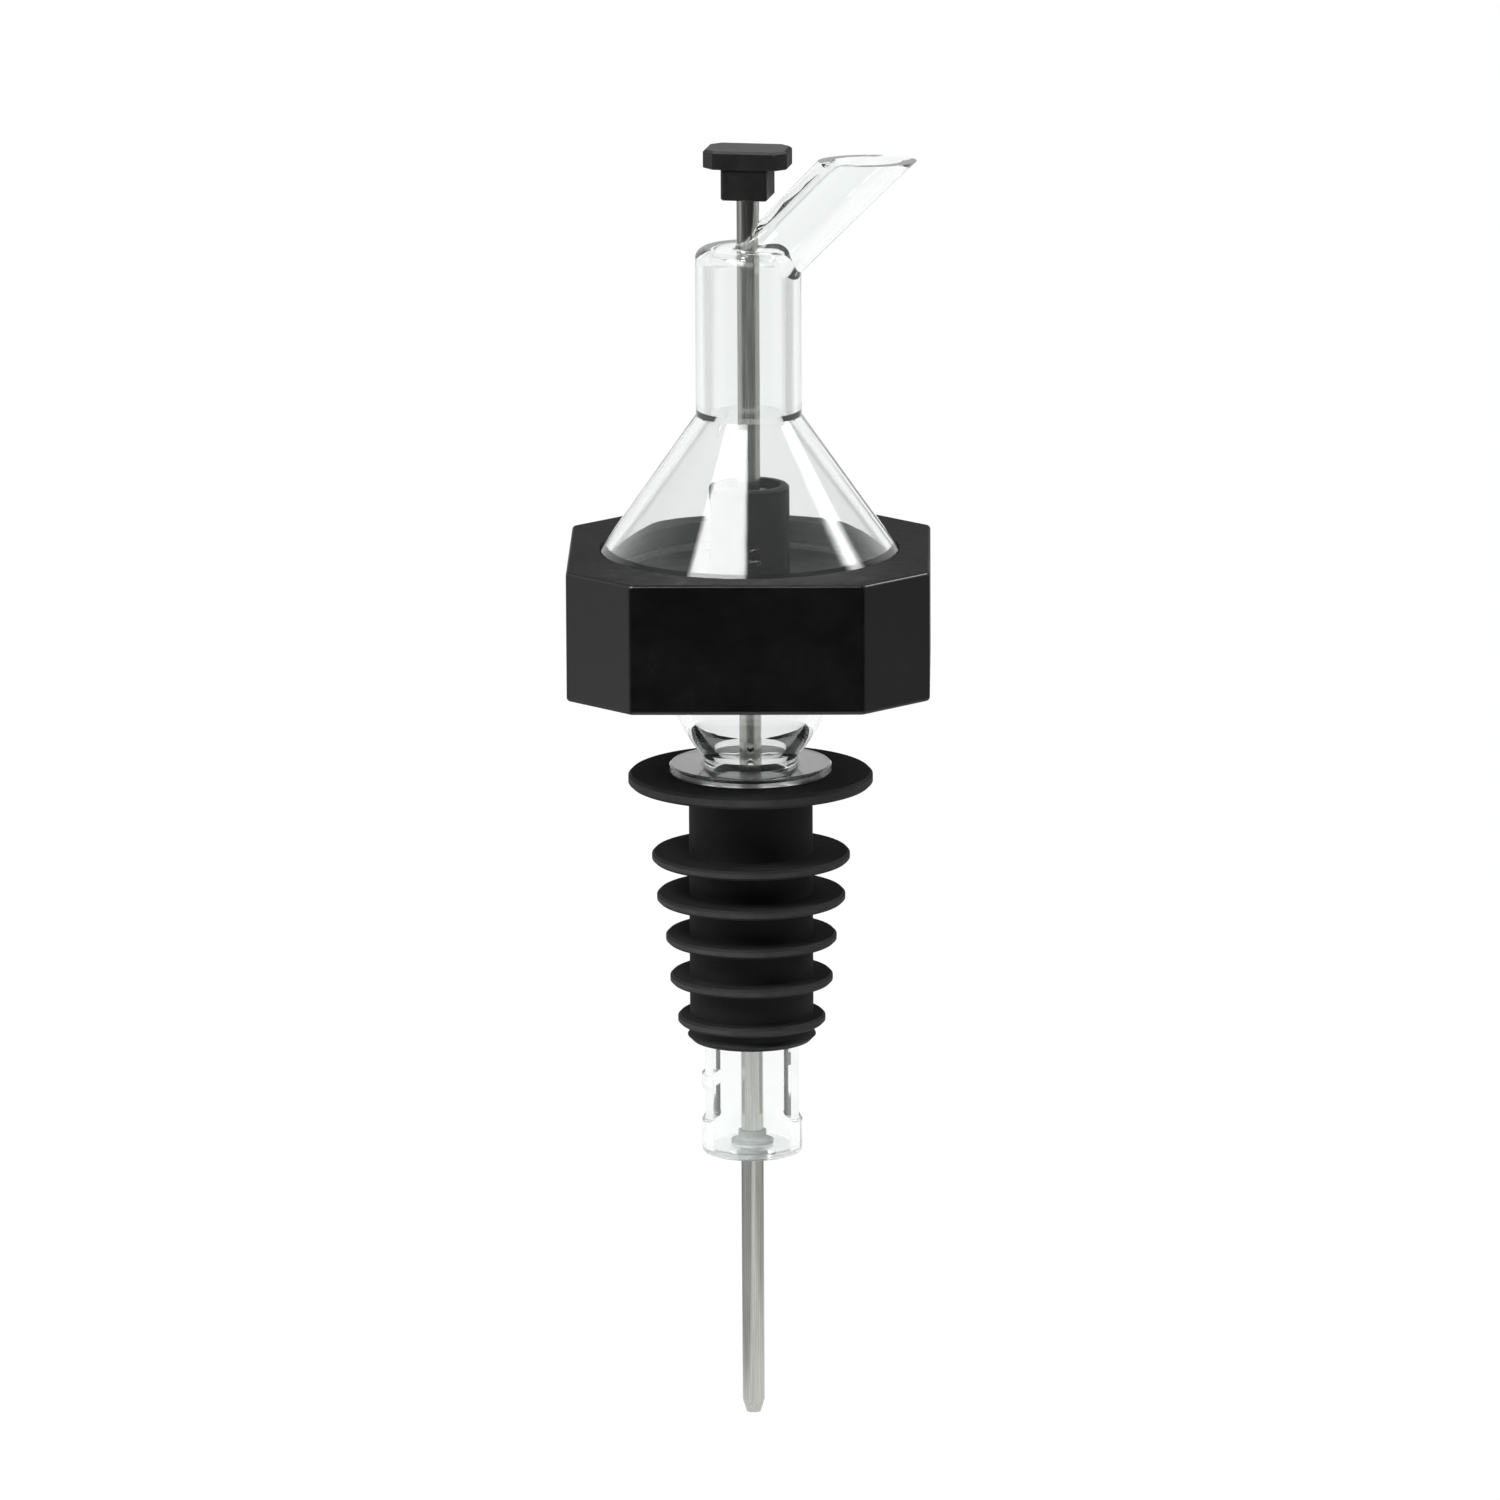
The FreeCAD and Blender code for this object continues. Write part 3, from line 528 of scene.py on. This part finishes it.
def steel_finish(name, dark, pale, roughness, lines, skin=None):
    """Bright metal with fine lines, their group's values given; stain and painted shade deeper than
    skin.
    """
    material, tree, output = new_material(name)
    surface = add_node(tree, "ShaderNodeGroup", lines, node_tree=drawn_lines).outputs["Lines"]
    colour = mix_colour(tree, spread(tree, surface), (*dark, 1), (*pale, 1))
    # stain and painted shade darken the bore
    if skin:
        colour = mix_colour(tree, stained_shaded_bore(tree, skin), colour, (*STAIN_AND_SHADE, 1))
    relief = add_node(tree, "ShaderNodeBump",
                      {"Height": surface, "Strength": LINE_STRENGTH, "Distance": LINE_DEPTH})
    shader = add_node(tree, "ShaderNodeBsdfPrincipled",
                      {"Base Color": colour, "Metallic": 1.0,
                       "Roughness": spread(tree, surface, roughness - STEEL_SWING,
                                           roughness + STEEL_SWING),
                       "Normal": relief.outputs["Normal"]})
    tree.links.new(shader.outputs["BSDF"], output.inputs["Surface"])
    return material


rod_steel = steel_finish(
    "rod_steel", dark=(0.36, 0.365, 0.345), pale=(0.58, 0.585, 0.56), roughness=0.17,
    lines={"Across": 9000.0, "Along": 120.0}, skin=ROD_SKIN)
spring_steel = steel_finish(
    "spring_steel", dark=(0.36, 0.36, 0.36), pale=(0.6, 0.6, 0.6), roughness=0.28,
    lines={"Across": 4000.0, "Along": 4000.0})
stainless_steel = steel_finish(
    "stainless_steel", dark=(0.45, 0.45, 0.44), pale=(0.66, 0.66, 0.65), roughness=0.3,
    lines={"Across": 3000.0, "Along": 3000.0})
finish_nodes(rod_steel, "plunger_rod")
finish_nodes(spring_steel, "spring_clip", "outlet_clip_upper", "outlet_clip_lower",
             "inlet_clip_upper", "inlet_clip_lower")
finish_nodes(stainless_steel, "spring_base_washer", "spring_cap_washer", "outlet_backing",
             "inlet_backing")

# ---------------------------------------------------------------- return spring
# Coil of round spring wire between the base washer and the cap washer, its two ends ground flat.
WIRE_RADIUS = 0.00032
COIL_TURNS = 5.5
STEPS_PER_TURN = 48
WIRE_SIDES = 16
END_EDGE = math.radians(40)

coil_low, coil_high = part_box("return_spring")
coil_length = coil_high.z - coil_low.z
coil_sizes = {"Coil Radius": coil_high.x - WIRE_RADIUS, "Wire Radius": WIRE_RADIUS,
              "Length": coil_length, "Turns": COIL_TURNS}
coil_tree = bpy.data.node_groups.new("coil_tree", "GeometryNodeTree")
coil_sockets = {
    key: coil_tree.interface.new_socket(key, in_out="INPUT", socket_type="NodeSocketFloat")
    for key in coil_sizes}
coil_tree.interface.new_socket("Geometry", in_out="OUTPUT", socket_type="NodeSocketGeometry")
given = coil_tree.nodes.new("NodeGroupInput")
coil_line = add_node(coil_tree, "GeometryNodeCurveSpiral",
                     {"Resolution": STEPS_PER_TURN, "Rotations": given.outputs["Turns"],
                      "Start Radius": given.outputs["Coil Radius"],
                      "End Radius": given.outputs["Coil Radius"],
                      "Height": given.outputs["Length"], "Reverse": True})
wire_ring = add_node(coil_tree, "GeometryNodeCurvePrimitiveCircle",
                     {"Resolution": WIRE_SIDES, "Radius": given.outputs["Wire Radius"]})
wire = add_node(coil_tree, "GeometryNodeCurveToMesh",
                {"Curve": coil_line.outputs["Curve"], "Profile Curve": wire_ring.outputs["Curve"],
                 "Fill Caps": True})
real = add_node(coil_tree, "GeometryNodeRealizeInstances", {"Geometry": wire.outputs["Mesh"]})
finished = add_node(coil_tree, "GeometryNodeSetMaterial",
                    {"Geometry": real.outputs["Geometry"], "Material": spring_steel})
coil_out = coil_tree.nodes.new("NodeGroupOutput")
coil_tree.links.new(finished.outputs["Geometry"], coil_out.inputs["Geometry"])

return_coil = bpy.data.objects.new("return_coil", bpy.data.meshes.new("return_coil"))
bpy.context.scene.collection.objects.link(return_coil)
winding = return_coil.modifiers.new("winding", "NODES")
winding.node_group = coil_tree
for key, value in coil_sizes.items():
    winding[coil_sockets[key].identifier] = value
wound = return_coil.evaluated_get(bpy.context.evaluated_depsgraph_get())
return_coil.data = bpy.data.meshes.new_from_object(wound)
return_coil.modifiers.remove(winding)

# the two ends are ground flat against the washers
coil = bmesh.new()
coil.from_mesh(return_coil.data)
bmesh.ops.translate(coil, verts=coil.verts, vec=(0, 0, coil_low.z))
for level, outwards in ((coil_low.z, -1), (coil_high.z, 1)):
    cut = bmesh.ops.bisect_plane(coil, geom=coil.verts[:] + coil.edges[:] + coil.faces[:],
                                 plane_co=(0, 0, level), plane_no=(0, 0, outwards),
                                 clear_outer=True)
    rim = [item for item in cut["geom_cut"] if isinstance(item, bmesh.types.BMEdge)]
    bmesh.ops.holes_fill(coil, edges=rim)
bmesh.ops.recalc_face_normals(coil, faces=coil.faces)
coil.to_mesh(return_coil.data)
coil.free()
return_coil.data.shade_smooth()
return_coil.data.set_sharp_from_angle(angle=END_EDGE)

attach(return_coil, "dispenser")
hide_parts("return_spring")
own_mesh(return_coil)

# ---------------------------------------------------------------- funnel and spout
# Clear cone, neck and leaning spout: three mouldings welded end to end. They show as one skin that
# keeps their smooth shading, without the ring faces that lie inside the two welds.
WELD_REACH = 1e-6
STEPS_PER_METRE = 1e7
spout_lean = Vector((1, 0, 1)).normalized()
neck_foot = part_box("measuring_funnel")[1].z
neck_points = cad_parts["funnel_neck"].data.vertices
socket_end = max(point.co.dot(spout_lean) for point in neck_points)


def in_weld(corners):
    """Whether a face lies in the plane of one of the two welds."""
    return (all(abs(corner.z - neck_foot) < WELD_REACH for corner in corners)
            or all(abs(corner.dot(spout_lean) - socket_end) < WELD_REACH for corner in corners))


points, faces, shading = {}, [], []
for node in ("measuring_funnel", "funnel_neck", "pouring_spout"):
    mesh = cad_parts[node].data
    for face in mesh.polygons:
        corners = [mesh.vertices[i].co for i in face.vertices]
        if in_weld(corners):
            continue
        keys = [tuple(round(value * STEPS_PER_METRE) for value in corner) for corner in corners]
        if len(set(keys)) == len(keys):
            faces.append([points.setdefault(key, len(points)) for key in keys])
            shading += [tuple(mesh.corner_normals[i].vector) for i in face.loop_indices]
clear_top_mesh = bpy.data.meshes.new("clear_top")
clear_top_mesh.from_pydata([[value / STEPS_PER_METRE for value in key] for key in points], [],
                           faces)
clear_top_mesh.shade_smooth()
clear_top_mesh.normals_split_custom_set(shading)
clear_top_mesh.materials.append(clear_plastic)
clear_top = bpy.data.objects.new("clear_top", clear_top_mesh)
bpy.context.scene.collection.objects.link(clear_top)
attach(clear_top, "dispenser")
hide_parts("measuring_funnel", "funnel_neck", "pouring_spout")

# ---------------------------------------------------------------- collar
# Square ring with cut corners, moulded in glossy black plastic and screwed down over the funnel's
# flange. Its faces are bare, and its top is duller with the dust that lies there.
black_plastic = opaque_finish(
    "black_plastic", dark=(0.0012, 0.0011, 0.0012), pale=(0.0050, 0.0046, 0.0048), roughness=0.22,
    bump=0.08, skin={"Pit Scale": 10000.0, "Cloud Scale": 200.0, "Speck Share": 0.1},
    rub={"Width": 0.0003}, dull=0.5)
finish_nodes(black_plastic, "collar")

# ---------------------------------------------------------------- knob
# Flat pad on a square block, moulded in black plastic and pressed on the rod last of all. The rims
# of glasses have worn it; its top is paler with dust and with a painted highlight from above.
# its top colour is dust and a painted highlight from above
knob_plastic = opaque_finish(
    "knob_plastic", dark=(0.007, 0.0075, 0.0075), pale=(0.022, 0.0225, 0.022), roughness=0.36,
    bump=0.25, skin={"Pit Scale": 9000.0, "Cloud Scale": 260.0, "Speck Share": 0.12},
    rub={"Width": 0.0003}, dust_and_highlight=(0.085, 0.086, 0.086))
finish_nodes(knob_plastic, "push_knob")
